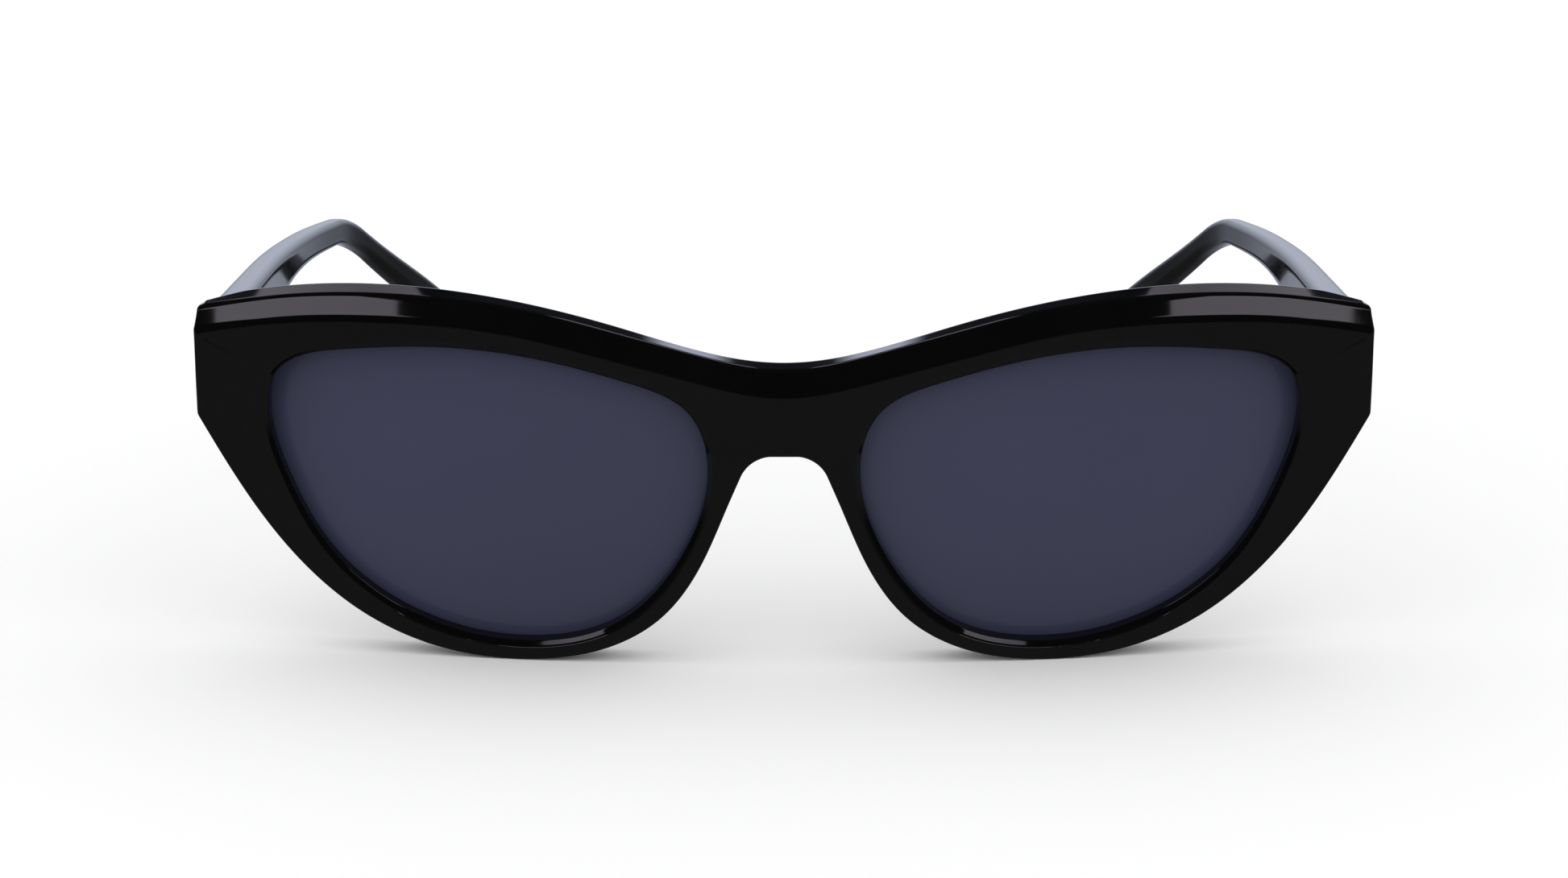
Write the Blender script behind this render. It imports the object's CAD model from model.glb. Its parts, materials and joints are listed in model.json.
"""Looks of the cat-eye sunglasses: glossy black acetate front and temples, dark lenses, studio light."""
import json
import math

import bmesh
import bpy
import numpy as np
from mathutils import Matrix, Vector


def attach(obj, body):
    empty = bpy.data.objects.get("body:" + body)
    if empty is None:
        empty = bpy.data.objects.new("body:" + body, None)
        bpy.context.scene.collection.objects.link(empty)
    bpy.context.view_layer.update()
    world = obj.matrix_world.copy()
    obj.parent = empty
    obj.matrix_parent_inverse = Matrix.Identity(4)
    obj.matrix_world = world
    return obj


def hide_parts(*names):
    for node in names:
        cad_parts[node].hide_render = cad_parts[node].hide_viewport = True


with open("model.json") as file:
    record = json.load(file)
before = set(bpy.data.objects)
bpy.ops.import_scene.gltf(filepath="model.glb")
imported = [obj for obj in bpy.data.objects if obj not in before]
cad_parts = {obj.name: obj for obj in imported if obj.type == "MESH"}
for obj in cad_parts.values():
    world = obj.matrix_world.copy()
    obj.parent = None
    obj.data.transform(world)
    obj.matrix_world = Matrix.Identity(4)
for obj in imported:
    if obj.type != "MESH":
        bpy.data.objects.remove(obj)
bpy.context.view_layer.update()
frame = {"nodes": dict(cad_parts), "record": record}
MM = 0.001

# ---- the design's numbers, in millimetres: the CAD's, but for the side of the end piece, ----
# ---- which is up to 0.25 mm fuller here, and the edges that are rounded only here ----------
PANTOSCOPIC_DEG = 6.0
WRAP_RADIUS = 260.0
THICKNESS = 6.0
FACET_RISE, FACET_DEPTH = 2.4, 2.5
CHAMFER = 0.6
LENS_RADIUS, LENS_THICKNESS, LENS_SET_BACK = 131.0, 2.0, 1.35
LENS_CENTRE = np.array((36.7, 20.9))
GROOVE_BITE = 0.5
BUTT_Y, BUTT_GAP = 15.0, 0.15
HINGE_AXIS = Vector((65.3, 16.4, 37.2))
BROW = [(0, 37.5), (10.1, 38.8), (20.4, 41.8), (30.7, 44.3), (41.1, 45.85), (51.6, 46.3), (62.2, 45.35),
        (68.6, 44.05), (74.0, 42.6)]
FOOT = [(0, 34.7), (12, 36.9), (21.8, 39.4), (31.6, 41.7), (40.5, 42.8), (50, 43.0), (61.6, 42.3),
        (75, 39.6)]
RIM = [(73.0, 29.4), (62.6, 13.8), (52.1, 4.8), (42.0, 0.9), (32.5, 0.0), (23.2, 1.4), (15.4, 5.7),
       (10.2, 12.8), (7.0, 20.2), (5.3, 24.2)]
SIDE = [(73.35, 42.3), (73.1, 39.6), (73.05, 35.7), (73.0, 29.4)]
TAPER = (73.4, 71.8, 12.0, 15.05)
BRIDGE_Z, BRIDGE_FLAT = 26.8, 1.8
APERTURE = [(9.5, 27.0), (11.7, 32.1), (19.0, 35.8), (31.8, 38.8), (44.0, 39.6), (54.0, 38.8), (59.9, 37.5),
            (62.8, 35.3), (63.85, 31.3), (61.8, 22.6), (55.5, 12.0), (45.5, 5.1), (33.0, 2.4), (21.1, 4.9),
            (12.2, 14.7)]
TEMPLE_OUTER = [(71.2, 9), (71.3, 37), (71.1, 57), (70.1, 72), (68.6, 83), (67.0, 90), (65.55, 95),
                (63.25, 100), (60.95, 104), (55.9, 112), (53.6, 116), (51.6, 120), (48.4, 132), (46.0, 146)]
TEMPLE_INNER = [(67.0, 9), (67.5, 37), (67.5, 57), (66.7, 72), (65.4, 83), (64.1, 90), (62.85, 95),
                (60.5, 100), (58.2, 104), (53.1, 112), (50.8, 116), (48.8, 120), (45.6, 132), (43.2, 146)]
UNDERSIDE = [(9, 32.1), (40, 36.0), (62.5, 38.9), (75, 40.0), (91.2, 40.7)]
TOP_Z, TOP_BEND_Y = 44.4, 92.1
DROP, UNDER_DROP = math.radians(34.4), math.radians(38.2)
TOP_BEND, UNDER_BEND = 12.5, 16.6
TOP_RUN, UNDER_RUN = 46.0, 41.3
TEMPLE_ROUND = ((70, 95), (1.3, 0.95))   # edge radius along the temple: stations and values
ARCH_HEADING = math.radians(163)          # from the lens centre, where the bridge's underside meets the hole
SEAM_FOOT, SEAM_TOP = 0.45, 1.05           # the middle seam keeps clear of the rounded edges
FACE_EDGE, RIDGE_EDGE, BACK_EDGE = (0.65, 0.3), (0.6, 0.3), (0.9, 0.35)   # radii: along the brow, elsewhere
CORNER_ROUND = 0.3                         # of the outline's two corners on the end piece
APERTURE_EDGE, APERTURE_BACK_EDGE = 0.12, 0.35
SUPPORT_REACH = 2.0                        # how far in from the outline the faces are already flat
MOST_OF_NEIGHBOUR = 0.45                   # a rounded corner takes at most this share of the edges beside it
TEMPLE_START_Y = 13.0                      # the swept part of a temple, before its butt is added

# ---- how finely the meshes are cut --------------------------------------------------------
RIM_CUTS, BROW_CUTS, SIDE_CUTS, SEAM_CUTS = 230, 230, 44, 14
EASE_CUTS = 14                             # samples over which the brow's radii ease down the side
LENS_RINGS, LENS_EVERY, TEMPLE_CUTS, TIP_CUTS = 40, 12, 260, 22

# ---- where the front stands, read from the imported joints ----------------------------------
joint = next(j for j in frame["record"]["behaviour"]["joints"] if j["name"] == "right_temple_fold")
LEAN = math.atan2(-joint["axis"][1], joint["axis"][2])
turn = Matrix.Rotation(LEAN, 4, "X")
SHIFT = Vector(joint["pos_m"]) / MM - (turn @ HINGE_AXIS)
FRONT = Matrix.Translation(SHIFT) @ turn
TEMPLE = Matrix.Translation(SHIFT) @ Matrix.Rotation(LEAN - math.radians(PANTOSCOPIC_DEG), 4, "X")


# ---- curves -------------------------------------------------------------------------------
def spline(points, closed=False, count=1500):
    """A smooth curve through the points, as a dense polyline: a natural or periodic cubic."""
    p = np.array(points, float)
    if closed:
        p = np.vstack([p, p[:1]])
    t = np.concatenate([[0], np.cumsum(np.linalg.norm(np.diff(p, axis=0), axis=1))])
    n, h = len(p), np.diff(t)
    a, b = np.zeros((n, n)), np.zeros((n, p.shape[1]))
    for i in range(1, n - 1):
        a[i, i - 1], a[i, i], a[i, i + 1] = h[i - 1], 2 * (h[i - 1] + h[i]), h[i]
        b[i] = 6 * ((p[i + 1] - p[i]) / h[i] - (p[i] - p[i - 1]) / h[i - 1])
    if closed:
        a[0, 0], a[0, -1] = 1, -1
        a[-1, 0], a[-1, 1], a[-1, -2], a[-1, -1] = 2 * h[0], h[0], h[-1], 2 * h[-1]
        b[-1] = 6 * ((p[1] - p[0]) / h[0] - (p[-1] - p[-2]) / h[-1])
    else:
        a[0, 0] = a[-1, -1] = 1
    m = np.linalg.solve(a, b)
    s = np.linspace(0, t[-1], count)
    k = np.clip(np.searchsorted(t, s, side="right") - 1, 0, n - 2)
    d, e, w = (t[k + 1] - s)[:, None], (s - t[k])[:, None], h[k][:, None]
    from_left, from_right = p[k] / w - m[k] * w / 6, p[k + 1] / w - m[k + 1] * w / 6
    return (m[k] * d**3 + m[k + 1] * e**3) / (6 * w) + from_left * d + from_right * e


def lengths(p):
    """Arc length at each point of polyline p."""
    return np.concatenate([[0], np.cumsum(np.linalg.norm(np.diff(p, axis=0), axis=1))])


def at(p, s):
    """Points of polyline p at arc lengths s."""
    t = lengths(p)
    return np.stack([np.interp(s, t, p[:, i]) for i in range(p.shape[1])], 1)


def eased(n):
    """n + 1 numbers from 0 to 1, close together at both ends."""
    return (1 - np.cos(np.linspace(0, np.pi, n + 1))) / 2


def wrap_y(x, depth):
    """How far back the wrapped sheet is at x, at a depth below its front face."""
    return WRAP_RADIUS - np.sqrt((WRAP_RADIUS - depth) ** 2 - x * x)


def arc_from(start, tangent, end, count=60):
    """Circular arc that leaves start along tangent and reaches end."""
    start, end = np.array(start, float), np.array(end, float)
    tangent = np.array(tangent) / np.linalg.norm(tangent)
    chord = end - start
    length = np.linalg.norm(chord)
    cross = tangent[0] * chord[1] - tangent[1] * chord[0]
    half = math.atan2(cross, float(tangent @ chord))
    radius = length / (2 * math.sin(half))
    normal = np.array((-tangent[1], tangent[0]))
    centre = start + normal * radius
    angles = np.linspace(0, 2 * half, count)
    rel = start - centre
    return np.stack([centre[0] + rel[0] * np.cos(angles) - rel[1] * np.sin(angles),
                     centre[1] + rel[0] * np.sin(angles) + rel[1] * np.cos(angles)], 1)


# ---- meshes -------------------------------------------------------------------------------
def make_object(name, verts, faces, matrix, body, replaced, material):
    """A mesh in millimetres placed by a matrix in millimetres, smooth, and hung on its body."""
    mesh = bpy.data.meshes.new(name)
    bm = bmesh.new()
    made = [bm.verts.new((matrix @ Vector(v)) * MM) for v in verts]
    for f in faces:
        try:
            bm.faces.new([made[i] for i in f])
        except ValueError:
            pass
    bmesh.ops.remove_doubles(bm, verts=bm.verts, dist=2e-7)
    bmesh.ops.dissolve_degenerate(bm, edges=bm.edges, dist=1e-8)
    bmesh.ops.recalc_face_normals(bm, faces=bm.faces)
    for f in bm.faces:
        f.smooth = True
    bm.to_mesh(mesh)
    bm.free()
    obj = bpy.data.objects.new(name, mesh)
    bpy.context.scene.collection.objects.link(obj)
    mesh.materials.append(material)
    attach(obj, body)
    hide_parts(*replaced)
    return obj


def corner(before, point, after, size, steps=6, support=0.07):
    """A rounded corner between two neighbours: a list of (n, 3) arrays, with a support row each side."""
    u, v = before - point, after - point
    lu, lv = np.linalg.norm(u, axis=1, keepdims=True), np.linalg.norm(v, axis=1, keepdims=True)
    u, v = u / np.maximum(lu, 1e-9), v / np.maximum(lv, 1e-9)
    wanted = np.asarray(size, float).reshape(-1, 1) + np.zeros((len(point), 1))
    size = np.minimum(wanted, MOST_OF_NEIGHBOUR * np.minimum(lu, lv))
    a, b = point + u * size, point + v * size
    w = np.sqrt(np.clip((1 - np.sum(u * v, axis=1, keepdims=True)) / 2, 0, 1))
    rows = [a + u * np.minimum(support, size / 2)]
    for s in np.linspace(0, 1, steps + 1):
        k0, k1, k2 = (1 - s) ** 2, 2 * s * (1 - s) * w, s * s
        rows.append((k0 * a + k1 * point + k2 * b) / (k0 + k1 + k2))
    rows.append(b + v * np.minimum(support, size / 2))
    return rows


def rounded(curve, index, radius):
    """Rounds the polyline's corner at one index by a smooth arc of that reach."""
    s = lengths(curve)
    c = s[index]
    near = np.abs(s - c) < radius
    a, b = at(curve, [c - radius])[0], at(curve, [c + radius])[0]
    t = ((s[near] - c + radius) / (2 * radius))[:, None]
    curve = curve.copy()
    curve[near] = (1 - t) ** 2 * a + 2 * t * (1 - t) * curve[index] + t * t * b
    return curve


def both_sides(points):
    return [(-x, z) for x, z in reversed(points[1:])] + points


def front_loops():
    """Matched samples round the right half: the outline at depths 0, FACET_DEPTH and THICKNESS, the index of
    the end piece's upper corner, and the first and last index of the seam at the middle of the bridge."""
    rim = spline(RIM)
    arc = arc_from(rim[-1], rim[-1] - rim[-2], (BRIDGE_FLAT, BRIDGE_Z))
    rim = np.vstack([rim, arc[1:], [(0, BRIDGE_Z)]])
    rim = at(rim, eased(RIM_CUTS) * lengths(rim)[-1])
    side = spline(SIDE)
    foot, brow = spline(both_sides(FOOT), count=4000), spline(both_sides(BROW), count=4000)
    loops = []
    for curve, rise in ((foot, 0), (foot, FACET_RISE), (brow, 0)):
        end_z = np.interp(side[0, 0], curve[:, 0], curve[:, 1]) + rise
        xs = eased(BROW_CUTS) * np.interp(-end_z, -side[:, 1], side[:, 0])
        z = np.interp(xs, curve[:, 0], curve[:, 1]) + rise
        top = np.stack([xs, z], 1)
        clear = np.linspace(BRIDGE_Z + SEAM_FOOT, z[0] - SEAM_TOP, SEAM_CUTS - 1)
        seam_z = np.concatenate([[BRIDGE_Z], clear, [z[0]]])
        seam = np.stack([np.zeros(SEAM_CUTS + 1), seam_z], 1)
        side_z = z[-1] + eased(SIDE_CUTS) * (side[-1, 1] - z[-1])
        edge = np.stack([np.interp(-side_z, -side[:, 1], side[:, 0]), side_z], 1)
        loops.append(np.vstack([rim, seam[1:], top[1:], edge[1:]]))
    seam_to = RIM_CUTS + SEAM_CUTS
    return loops, seam_to + BROW_CUTS, (RIM_CUTS, seam_to)


def place(loop, depth):
    """(x, z) points at a depth into the wrapped sheet, kept short of the butt and the tapered side."""
    x, z = loop[:, 0].copy(), loop[:, 1]
    for _ in range(3):
        y = np.minimum(wrap_y(x, depth), BUTT_Y)
        limit = np.interp(y, TAPER[2:], TAPER[:2])
        x = np.minimum(x, limit)
    return np.stack([x, y, z], 1)


def polar(loop):
    """Headings of (x, z) points from the lens centre."""
    d = loop - LENS_CENTRE
    return np.arctan2(d[:, 1], d[:, 0])


def make_front(material):
    """Rows round the right lens, from its opening over the face, edge and back, and their mirror image."""
    (c0, c1, c2), top_corner, seam = front_loops()
    n = len(c0) - 1

    def soften(loop):
        """The loop less its repeated end, rounded at its start, the lower corner, and at the upper corner."""
        shift = 60
        ring = np.roll(loop[:-1], shift, axis=0)
        closed = np.vstack([ring, ring[:1]])
        for index in (shift, (top_corner + shift) % n):
            closed = rounded(closed, index, CORNER_ROUND)
        return np.roll(closed[:-1], -shift, axis=0)

    c0, c1, c2 = soften(c0), soften(c1), soften(c2)
    hole = spline(APERTURE, closed=True, count=6000)
    angle = np.unwrap(polar(hole))
    if angle[-1] < angle[0]:
        hole, angle = hole[::-1], angle[::-1]
    normal = np.gradient(hole, axis=0)
    normal[0] = normal[-1] = hole[1] - hole[-2]
    normal = np.stack([normal[:, 1], -normal[:, 0]], 1)
    normal /= np.linalg.norm(normal, axis=1, keepdims=True)
    # rows from the arch and the seam meet the hole higher up, so that none crosses the open arch
    heading, reach = np.mod(polar(c0), 2 * np.pi), lengths(c0)
    shoulder = int(np.argmax(c0[:, 0] < RIM[-1][0]))
    stops = [shoulder, *seam]
    arch = slice(shoulder, seam[1] + 1)
    heading[arch] = np.interp(reach[arch], reach[stops], [heading[shoulder], ARCH_HEADING, heading[seam[1]]])
    want = angle[0] + np.mod(heading - angle[0], 2 * np.pi)
    a = np.stack([np.interp(want, angle, hole[:, i]) for i in (0, 1)], 1)
    nrm = np.stack([np.interp(want, angle, normal[:, i]) for i in (0, 1)], 1)
    pa, pc, pb = place(a + nrm * CHAMFER, 0), place(a, CHAMFER), place(a, THICKNESS)
    p0, p1, p2 = place(c0, 0), place(c1, FACET_DEPTH), place(c2, THICKNESS)
    in_seam = np.zeros(n, bool)
    in_seam[seam[0] + 1:seam[1]] = True
    on_top = np.zeros(n, bool)
    on_top[seam[1]:top_corner + 1] = True

    def edge_radius(on_brow, elsewhere):
        """The edge's radius at each sample, eased from the brow's down the side, and nil in the seam."""
        radius = np.where(on_top, on_brow, elsewhere)
        radius[top_corner:top_corner + EASE_CUTS] = np.linspace(on_brow, elsewhere, EASE_CUTS)
        radius[in_seam] = 0
        return radius

    r0, r1, r2 = edge_radius(*FACE_EDGE), edge_radius(*RIDGE_EDGE), edge_radius(*BACK_EDGE)

    def between(q, r, depth, count):
        """Rows across a wrapped face from q to r."""
        rows = []
        for t in np.linspace(0, 1, count + 2)[1:-1]:
            m = q * (1 - t) + r * t
            rows.append(place(m[:, [0, 2]], depth))
        return rows

    def inward(c):
        """The outline's normals towards the lens; upright where the seam meets the bridge and the brow."""
        d = np.roll(c, -1, axis=0) - np.roll(c, 1, axis=0)
        q = np.stack([-d[:, 1], d[:, 0]], 1)
        q /= np.linalg.norm(q, axis=1, keepdims=True)
        q *= np.sign(np.sum(q * (LENS_CENTRE - c)))
        q[in_seam] = (1, 0)
        q[seam[0]], q[seam[1]] = (0, 1), (0, -1)
        return q

    in0 = place(c0 + SUPPORT_REACH * inward(c0), 0)
    in2 = place(c2 + SUPPORT_REACH * inward(c2), THICKNESS)
    face_edge, wall, back_edge = corner(in0, p0, p1, r0), corner(p0, p1, p2, r1), corner(p1, p2, in2, r2)
    rows = corner(pc, pa, p0, APERTURE_EDGE, 3)
    rows += between(pa, face_edge[0], 0, 12)
    first_wall = len(rows)
    rows += face_edge + wall + back_edge
    last_wall = len(rows) - 1
    rows += between(back_edge[-1], pb, THICKNESS, 10)
    rows += corner(p2, pb, pc, APERTURE_BACK_EDGE)
    rows += [pb * (1 - t) + pc * t for t in (0.25, 0.5, 0.75)]
    rows += corner(pb, pc, pa, APERTURE_EDGE, 3)
    grid = np.stack(rows)
    m = len(rows)
    verts = [tuple(v) for v in grid.reshape(-1, 3)]
    faces = []
    for j in range(m):
        for i in range(n):
            k = (i + 1) % n
            if first_wall <= j < last_wall and seam[0] <= i < seam[1]:
                continue
            q = (j + 1) % m
            faces.append((j * n + i, j * n + k, q * n + k, q * n + i))
    count = len(verts)
    verts += [(-x, y, z) for x, y, z in verts]
    faces += [tuple(count + i for i in reversed(f)) for f in faces]
    return make_object("front", verts, faces, FRONT, "front", ["front_frame"], material)


def make_lens(side, material):
    """Two spherical faces on rings about the lens centre, joined at the rim, which is in the groove."""
    outline = spline(APERTURE, closed=True, count=2401)[:-1]
    tangent = np.roll(outline, -1, axis=0) - np.roll(outline, 1, axis=0)
    normal = np.stack([-tangent[:, 1], tangent[:, 0]], 1)
    normal /= np.linalg.norm(normal, axis=1, keepdims=True)
    outline = (outline + normal * GROOVE_BITE)[::LENS_EVERY]
    n, rings = len(outline), LENS_RINGS
    turn_angle = math.asin(LENS_CENTRE[0] / WRAP_RADIUS)
    reach = LENS_RADIUS + LENS_SET_BACK
    cx = LENS_CENTRE[0] - reach * math.sin(turn_angle)
    cy = wrap_y(LENS_CENTRE[0], 0.0) + reach * math.cos(turn_angle)
    verts, faces = [], []
    for radius in (LENS_RADIUS, LENS_RADIUS - LENS_THICKNESS):
        base = len(verts)
        for r in range(rings + 1):
            t = r / rings
            for p in outline:
                x, z = LENS_CENTRE + (p - LENS_CENTRE) * t
                y = cy - math.sqrt(radius**2 - (x - cx) ** 2 - (z - LENS_CENTRE[1]) ** 2)
                verts.append((side * x, y, z))
        for r in range(rings):
            for i in range(n):
                k = (i + 1) % n
                near, far = base + r * n, base + (r + 1) * n
                faces.append((near + i, near + k, far + k, far + i))
    back = (rings + 1) * n
    for i in range(n):
        k = (i + 1) % n
        faces.append((rings * n + i, rings * n + k, back + rings * n + k, back + rings * n + i))
    word = "right" if side > 0 else "left"
    return make_object(f"tinted_lens_{word}", verts, faces, FRONT, "front", [f"lens_{word}"],
                       material)


def temple_edges():
    """The temple's upper and lower edge, (y, z): level or curved, then a bend and a straight tip."""
    def bent(level, start, radius, drop, run):
        a = np.linspace(0, drop, 60)
        arc = np.stack([start[0] + radius * np.sin(a), start[1] - radius * (1 - np.cos(a))], 1)
        end = arc[-1] + run * np.array((math.cos(drop), -math.sin(drop)))
        return np.vstack([level, arc[1:], end])
    level = np.array([(9.0, TOP_Z), (TOP_BEND_Y, TOP_Z)])
    top = bent(level, level[-1], TOP_BEND, DROP, TOP_RUN)
    low = spline(UNDERSIDE)
    under = bent(low, low[-1], UNDER_BEND, UNDER_DROP, UNDER_RUN)
    return top, under


def make_temple(side, material):
    """Rows along the temple and round its section, from a flat butt at the front to a round end."""
    top, under = temple_edges()
    outer, inner = spline([(y, x) for x, y in TEMPLE_OUTER]), spline([(y, x) for x, y in TEMPLE_INNER])
    u = np.linspace(0, 1, TEMPLE_CUTS)
    t, b = at(top, u * lengths(top)[-1]), at(under, u * lengths(under)[-1])
    middle, half = (t[-1] + b[-1]) / 2, np.linalg.norm(t[-1] - b[-1]) / 2
    across = (t[-1] - b[-1]) / (2 * half)
    along = np.array((across[1], -across[0]))
    angles = np.linspace(0, np.pi / 2, TIP_CUTS)[1:]
    cap_t = np.array([middle + half * (across * math.cos(q) + along * math.sin(q)) for q in angles])
    cap_b = np.array([middle + half * (-across * math.cos(q) + along * math.sin(q)) for q in angles])
    t, b = np.vstack([t, cap_t]), np.vstack([b, cap_b])
    lean = math.radians(PANTOSCOPIC_DEG)

    def outward(p, sign):
        d = np.gradient(p, axis=0)
        q = np.stack([-d[:, 1], d[:, 0]], 1) * sign
        return q / np.linalg.norm(q, axis=1, keepdims=True)
    nt, nb = outward(t, 1), outward(b, -1)
    nt[-1] = nb[-1] = along
    start = int(np.argmax(t[:, 0] > TEMPLE_START_Y))
    t, b, nt, nb = t[start:], b[start:], nt[start:], nb[start:]

    def rows_at(edge, normal, inset, face, depth):
        """One row along the temple, inset from an edge and below its outer (+1) or inner (-1) face."""
        q = edge - normal * inset[:, None]
        curve = outer if face > 0 else inner
        x = np.interp(q[:, 0], curve[:, 0], curve[:, 1]) - face * depth
        return np.stack([x, q[:, 0], q[:, 1]], 1)

    def radius(edge):
        return np.interp(edge[:, 0], *TEMPLE_ROUND)

    steps, across_steps = 6, 9
    phi = np.linspace(0, np.pi / 2, steps + 1)
    rows = []
    for edge, normal, first, last in ((t, nt, -1, 1), (b, nb, 1, -1)):
        other, other_normal = (b, nb) if edge is t else (t, nt)
        r = radius(edge)
        for face, angles in ((first, phi), (last, phi[::-1])):
            for f in angles:
                rows.append(rows_at(edge, normal, r * (1 - math.sin(f)), face, r * (1 - math.cos(f))))
        near, far = rows[-1], rows_at(other, other_normal, radius(other), last, 0)
        curve = outer if last > 0 else inner
        for w in np.linspace(0, 1, across_steps + 2)[1:-1]:
            q = near * (1 - w) + far * w
            q[:, 0] = np.interp(q[:, 1], curve[:, 0], curve[:, 1])
            rows.append(q)
    grid = np.stack(rows)
    first = grid[:, :1].copy()
    first[..., 1] = (BUTT_Y + BUTT_GAP - first[..., 2] * math.sin(lean)) / math.cos(lean)
    grid = np.concatenate([first, grid], axis=1)
    m, n = grid.shape[:2]
    verts = [(side * x, y, z) for x, y, z in grid.reshape(-1, 3)]
    faces = [((j * n + i), (j * n + i + 1), ((j + 1) % m) * n + i + 1, ((j + 1) % m) * n + i)
             for j in range(m) for i in range(n - 1)]
    faces.append(tuple(j * n for j in range(m)))
    word = "right" if side > 0 else "left"
    obj = make_object(f"temple_arm_{word}_shell", verts, faces, TEMPLE, f"temple_arm_{word}",
                      [f"temple_{word}"], material)
    for f in obj.data.polygons:
        if len(f.vertices) > 4:
            f.use_smooth = False
    return obj


# ---- materials ----------------------------------------------------------------------------
def material(name):
    """A new node material, its tree and its Principled shader."""
    mat = bpy.data.materials.new(name)
    mat.use_nodes = True
    tree = mat.node_tree
    shader = tree.nodes["Principled BSDF"]
    return mat, tree, shader


def noise(tree, scale, detail, stretch=(1, 1, 1)):
    """Noise on object coordinates, in metres; a small stretch draws the grain out along that axis."""
    where = tree.nodes.new("ShaderNodeTexCoord")
    mapping = tree.nodes.new("ShaderNodeMapping")
    mapping.inputs["Scale"].default_value = stretch
    tree.links.new(where.outputs["Object"], mapping.inputs["Vector"])
    tex = tree.nodes.new("ShaderNodeTexNoise")
    tex.inputs["Scale"].default_value = scale
    tex.inputs["Detail"].default_value = detail
    tree.links.new(mapping.outputs["Vector"], tex.inputs["Vector"])
    return tex.outputs["Fac"]


def ramp(tree, value, stops):
    """A colour ramp; a stop of one number is that grey."""
    node = tree.nodes.new("ShaderNodeValToRGB")
    elements = node.color_ramp.elements
    while len(elements) < len(stops):
        elements.new(0.5)
    for element, (position, colour) in zip(elements, stops):
        element.position = position
        element.color = (*colour, 1) if len(colour) == 3 else (colour[0],) * 3 + (1,)
    tree.links.new(value, node.inputs["Fac"])
    return node.outputs["Color"]


def bump(tree, shader, value, distance, strength=1.0):
    node = tree.nodes.new("ShaderNodeBump")
    node.inputs["Strength"].default_value = strength
    node.inputs["Distance"].default_value = distance
    tree.links.new(value, node.inputs["Height"])
    tree.links.new(node.outputs["Normal"], shader.inputs["Normal"])


def acetate():
    mat, tree, shader = material("polished_acetate")
    shader.inputs["IOR"].default_value = 1.48
    depth = ramp(tree, noise(tree, 90, 3), [(0.3, (0.0010, 0.0011, 0.0011)), (0.7, (0.0016, 0.0016, 0.0017))])
    tree.links.new(depth, shader.inputs["Base Color"])
    haze = ramp(tree, noise(tree, 260, 5), [(0.35, (0.045,)), (0.75, (0.075,))])
    tree.links.new(haze, shader.inputs["Roughness"])
    bump(tree, shader, noise(tree, 55, 2), 0.00002, 0.25)
    return mat


def tinted():
    mat, tree, shader = material("tinted_lens")
    shader.inputs["IOR"].default_value = 1.5
    tint = ramp(tree, noise(tree, 30, 2), [(0.3, (0.0415, 0.0437, 0.078)), (0.7, (0.0435, 0.0457, 0.082))])
    tree.links.new(tint, shader.inputs["Base Color"])
    smear = ramp(tree, noise(tree, 120, 4), [(0.35, (0.12,)), (0.75, (0.16,))])
    tree.links.new(smear, shader.inputs["Roughness"])
    return mat


def metal(name, colour, rough_low, rough_high, stretch):
    mat, tree, shader = material(name)
    shader.inputs["Metallic"].default_value = 1.0
    tone = ramp(tree, noise(tree, 900, 3), [(0.3, tuple(0.88 * c for c in colour)), (0.7, colour)])
    tree.links.new(tone, shader.inputs["Base Color"])
    brushed = noise(tree, 2500, 4, stretch)
    rough = ramp(tree, brushed, [(0.3, (rough_low,)), (0.7, (rough_high,))])
    tree.links.new(rough, shader.inputs["Roughness"])
    bump(tree, shader, brushed, 0.000004, 0.5)
    return mat


# ---- the pieces ---------------------------------------------------------------------------
black, lens_tint = acetate(), tinted()
silver = metal("rolled_nickel_silver", (0.66, 0.65, 0.62), 0.22, 0.36, (1, 1, 0.1))
steel = metal("turned_steel", (0.7, 0.7, 0.71), 0.16, 0.28, (1, 0.2, 1))
make_front(black)
for side in (1, -1):
    make_lens(side, lens_tint)
    make_temple(side, black)
for name, obj in frame["nodes"].items():
    if name.startswith("nose_pad"):
        chosen = black
    elif "screw" in name:
        chosen = steel
    elif name.startswith(("hinge", "temple_core")):
        chosen = silver
    else:
        continue
    for k in range(max(1, len(obj.material_slots))):
        if not obj.material_slots:
            obj.data.materials.append(chosen)
        else:
            obj.material_slots[k].link = "OBJECT"
            obj.material_slots[k].material = chosen

# ---- stage, light and camera --------------------------------------------------------------
ELEVATION = math.radians(10.0 + PANTOSCOPIC_DEG) - LEAN   # the view is 10 degrees above the temples' run
CAMERA_DISTANCE = 0.5                                     # metres
FOCAL_WIDTHS = 2.6002                                     # focal length over the picture's width
SENSOR_MM = 36.0
AIM = (0, -0.16, 28.5)                                    # the picture's centre, in the temples' frame
aim = TEMPLE @ Vector(AIM) * MM
camera = bpy.data.objects.new("camera", bpy.data.cameras.new("camera"))
bpy.context.scene.collection.objects.link(camera)
back = Vector((0, -math.cos(ELEVATION), math.sin(ELEVATION)))
camera.location = aim + back * CAMERA_DISTANCE
camera.rotation_mode = "QUATERNION"
camera.rotation_quaternion = (-back).to_track_quat("-Z", "Y")
camera.data.sensor_width = SENSOR_MM
camera.data.lens = SENSOR_MM * FOCAL_WIDTHS
camera.data.clip_start, camera.data.clip_end = 0.01, 50
bpy.context.scene.camera = camera

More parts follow.
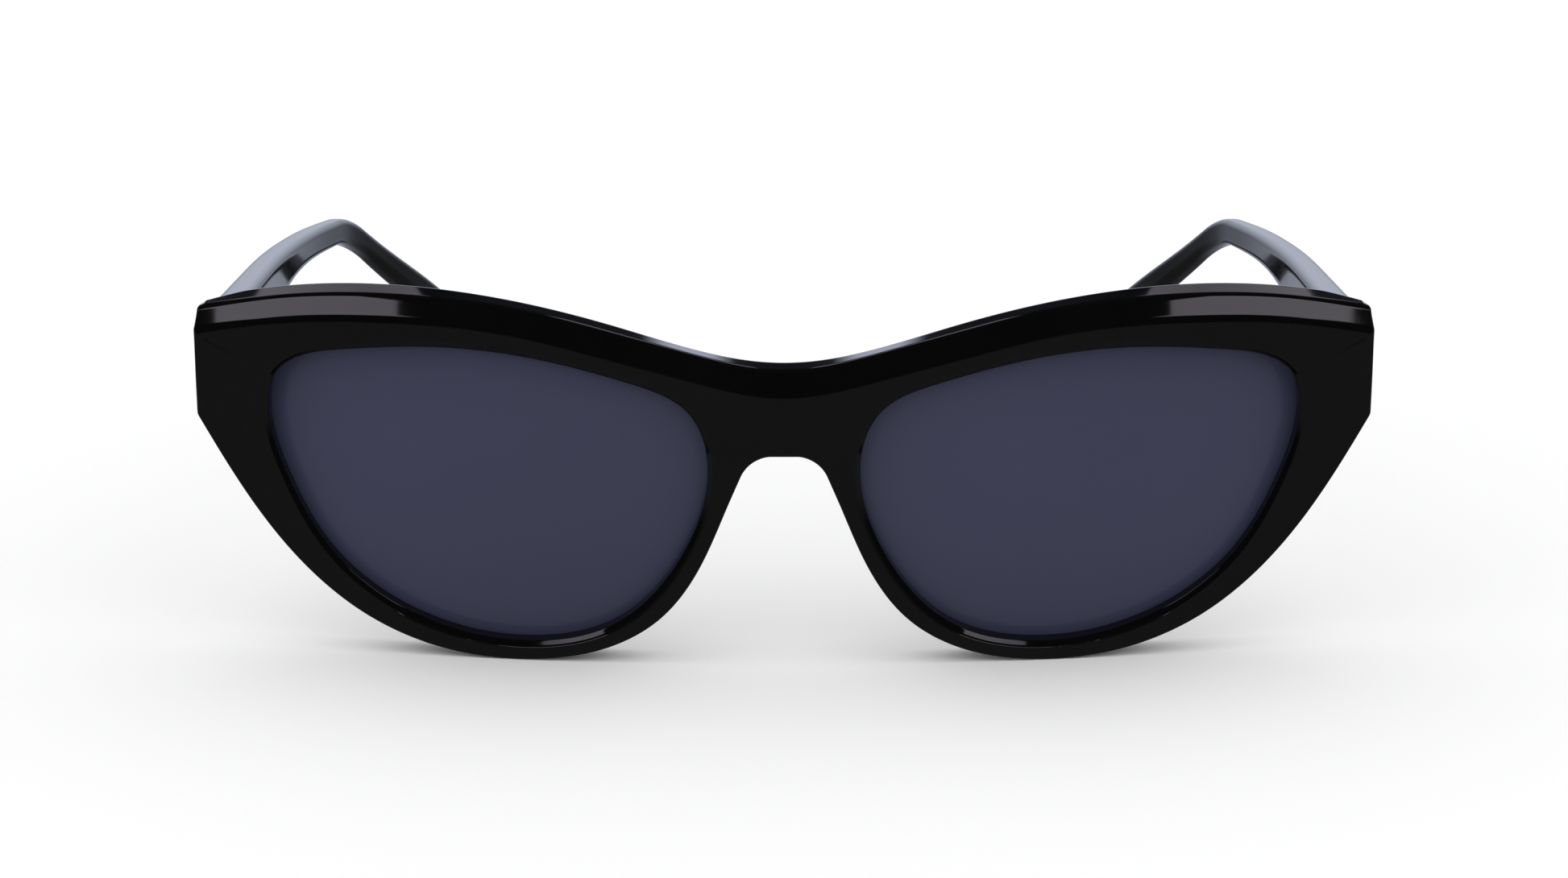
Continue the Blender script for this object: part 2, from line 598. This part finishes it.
floor_mesh = bpy.data.meshes.new("floor")
floor_mesh.from_pydata([(-8, -8, 0), (8, -8, 0), (8, 8, 0), (-8, 8, 0)], [], [(0, 1, 2, 3)])
floor = bpy.data.objects.new("floor", floor_mesh)
bpy.context.scene.collection.objects.link(floor)
floor_mat, floor_tree, floor_shader = material("pale_floor")
floor_shader.inputs["Roughness"].default_value = 0.9
pale = ramp(floor_tree, noise(floor_tree, 3, 2), [(0.3, (0.93, 0.93, 0.93)), (0.7, (0.95, 0.95, 0.95))])
floor_tree.links.new(pale, floor_shader.inputs["Base Color"])
floor_mesh.materials.append(floor_mat)
floor.visible_glossy = False


def softbox(name, position, target, size, radiance, colour):
    """A lit panel that shows only in reflections; the studio's even light does the rest."""
    light = bpy.data.lights.new(name, "AREA")
    light.shape = "RECTANGLE"
    light.size, light.size_y = size
    light.energy = radiance * math.pi * size[0] * size[1]
    light.color = colour
    obj = bpy.data.objects.new(name, light)
    obj.location = position
    obj.rotation_mode = "QUATERNION"
    obj.rotation_quaternion = (Vector(target) - Vector(position)).to_track_quat("-Z", "Y")
    obj.visible_diffuse = False
    bpy.context.scene.collection.objects.link(obj)


world = bpy.data.worlds.new("studio")
bpy.context.scene.world = world
world.use_nodes = True
wt = world.node_tree


def math_node(operation, a, b, c=None):
    node = wt.nodes.new("ShaderNodeMath")
    node.operation = operation
    for socket, value in zip(node.inputs, (a, b, c)):
        if isinstance(value, (int, float)):
            socket.default_value = value
        elif value is not None:
            wt.links.new(value, socket)
    return node.outputs[0]


def mix_colour(factor, a, b):
    node = wt.nodes.new("ShaderNodeMix")
    node.data_type = "RGBA"
    wt.links.new(factor, node.inputs["Factor"])
    for socket, value in ((node.inputs[6], a), (node.inputs[7], b)):
        if isinstance(value, tuple):
            socket.default_value = (*value, 1)
        else:
            wt.links.new(value, socket)
    return node.outputs[2]


def grey(level, tint=(0.93, 1.0, 1.2)):
    return tuple(level * t for t in tint)


# In reflections the studio is pale behind and low, dim in front and dark overhead between the softboxes.
direction = wt.nodes.new("ShaderNodeSeparateXYZ")
wt.links.new(wt.nodes.new("ShaderNodeTexCoord").outputs["Generated"], direction.inputs["Vector"])
height = math_node("MULTIPLY_ADD", direction.outputs["Z"], 0.5, 0.5)
behind = ramp(wt, height, [(0.45, grey(0.42)), (0.53, grey(0.9)), (0.60, grey(1.3)), (0.64, grey(1.3)),
                           (0.68, grey(0.05)), (0.80, grey(0.02))])
before = ramp(wt, height, [(0.44, (0.15, 0.15, 0.15)), (0.53, (0.02, 0.02, 0.02))])
backwards = math_node("MULTIPLY_ADD", direction.outputs["Y"], 1.6, -0.2)
reflected = mix_colour(backwards, before, behind)
seen_in_gloss = wt.nodes.new("ShaderNodeLightPath").outputs["Is Glossy Ray"]
wt.links.new(mix_colour(seen_in_gloss, (1.12, 1.12, 1.12), reflected), wt.nodes["Background"].inputs["Color"])

WARM = (1.0, 0.92, 1.04)
for side, word in ((1, "right"), (-1, "left")):
    softbox(f"overhead_{word}", (side * 1.17, -0.25, 2.0), (side * 1.17, -0.25, 0), (1.0, 1.0), 2.0, WARM)
    softbox(f"rear_{word}", (side * 0.645, 1.97, 1.6), (side * 0.645, 0, 0), (0.75, 0.6), 0.75, WARM)
bpy.context.scene.view_settings.view_transform = "Standard"
